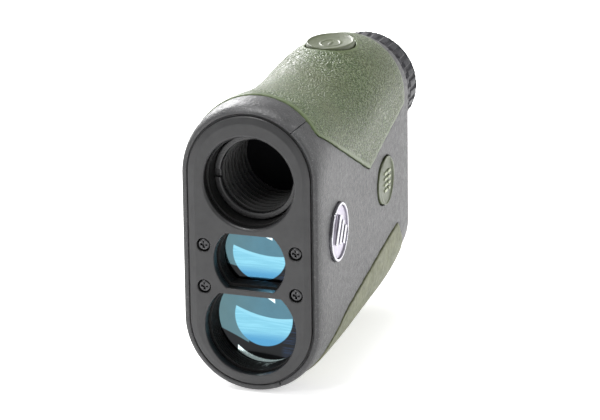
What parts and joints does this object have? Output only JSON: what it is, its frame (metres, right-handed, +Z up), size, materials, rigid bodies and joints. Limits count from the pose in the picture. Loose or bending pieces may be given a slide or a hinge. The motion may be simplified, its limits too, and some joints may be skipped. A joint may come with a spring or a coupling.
{
  "type": "laser rangefinder",
  "caption": "Upright pocket laser rangefinder with stacked objective, transmit and receive windows, eyepiece focus ring, top and side buttons and rear battery cap.",
  "frame": {"origin": "under the middle of the object's bounding box, on the surface that it stands on", "axes": "+Y from the front plate to the eyepiece along the optical axes, +Z up, +X to the right for someone facing the front plate"},
  "size_m": [0.0364, 0.095, 0.0742],
  "materials": {
    "shell_polymer": "fine textured charcoal polymer",
    "skin_rubber": "pebble-grained olive green rubber",
    "belly_rubber": "smooth olive rubber",
    "plate_anodised": "satin dark anodised",
    "screw_black": "black oxide",
    "seal_rubber": "matte black",
    "optics_black": "matte black moulding",
    "barrel_black": "black anodised",
    "coated_glass": "coated, blue sheen",
    "clear_glass": "polished",
    "board_green": "solder-masked circuit board",
    "chip_black": "moulded package",
    "can_metal": "plated can",
    "focus_rubber": "moulded grip pads",
    "cup_rubber": "soft matte",
    "button_polymer": "satin olive grey",
    "badge_chrome": "polished",
    "badge_satin": "silver-lilac satin",
    "cell_jacket": "printed foil jacket, plain",
    "spring_steel": "bright",
    "dome_silicone": "translucent silicone"
  },
  "bodies": {
    "body": {"shell_left": "shell_polymer", "shell_right": "shell_polymer", "top_skin": "skin_rubber", "bottom_skin": "belly_rubber", "front_plate": "plate_anodised", "plate_screws": "screw_black", "plate_gasket": "seal_rubber", "optics_frame": "optics_black", "objective_barrel": "barrel_black", "objective_ring": "barrel_black", "objective_front_lens": "clear_glass", "objective_rear_lens": "clear_glass", "objective_baffle": "barrel_black", "transmit_hood": "optics_black", "transmit_lens": "coated_glass", "receive_hood": "optics_black", "receive_lens": "coated_glass", "laser_diode": "can_metal", "detector": "can_metal", "detector_filter": "clear_glass", "sensor_board": "board_green", "board_screws": "spring_steel", "prism_cage": "optics_black", "half_prism": "clear_glass", "roof_prism": "clear_glass", "display_panel": "clear_glass", "eyepiece_tube": "barrel_black", "field_lens": "clear_glass", "fire_dome": "dome_silicone", "fire_switch": "can_metal", "top_board": "board_green", "mode_switch": "chip_black", "main_board": "board_green", "processor": "chip_black", "badge_bezel": "badge_chrome", "badge_face": "badge_satin", "battery_cell": "cell_jacket", "battery_tube": "optics_black", "battery_spring": "spring_steel", "lanyard_loop": "screw_black"},
    "fire_button": {"fire_button": "button_polymer"},
    "mode_button": {"mode_button": "button_polymer", "mode_plunger": "chip_black"},
    "focus_ring": {"focus_ring": "focus_rubber", "eyecup": "cup_rubber"},
    "eye_cell": {"eye_cell": "barrel_black", "eye_lens": "coated_glass"},
    "cap_seal": {"cap_seal": "seal_rubber"},
    "battery_cap": {"battery_cap": "shell_polymer"}
  },
  "joints": [
    {"name": "fire_press", "type": "slide", "parent": "body", "child": "fire_button", "axis": [0, 0, -1], "range_m": [0, 0.0008], "stiffness_N_per_m": 1500, "springref_m": -0.0006, "deforming": ["fire_dome"]},
    {"name": "mode_press", "type": "slide", "parent": "body", "child": "mode_button", "axis": [-1, 0, 0], "range_m": [0, 0.0006], "stiffness_N_per_m": 1500, "springref_m": -0.0006},
    {"name": "focus_turn", "type": "hinge", "parent": "body", "child": "focus_ring", "pos_m": [0, 0.0392, 0.054], "axis": [0, 1, 0], "range_deg": [-120, 120]},
    {"name": "focus_slide", "type": "slide", "parent": "body", "child": "eye_cell", "axis": [0, 1, 0], "range_m": [-0.0008, 0.0008]},
    {"name": "cap_lift", "type": "slide", "parent": "body", "child": "cap_seal", "axis": [0, 1, 0], "range_m": [0, 0.0024]},
    {"name": "cap_turn", "type": "hinge", "parent": "cap_seal", "child": "battery_cap", "pos_m": [0, 0.0335, 0.02], "axis": [0, 1, 0], "range_deg": [0, 1080]}
  ],
  "couplings": [
    {"joint": "focus_turn", "follows": "focus_slide", "rad_per_m": 2618},
    {"joint": "cap_turn", "follows": "cap_lift", "rad_per_m": 7854}
  ]
}
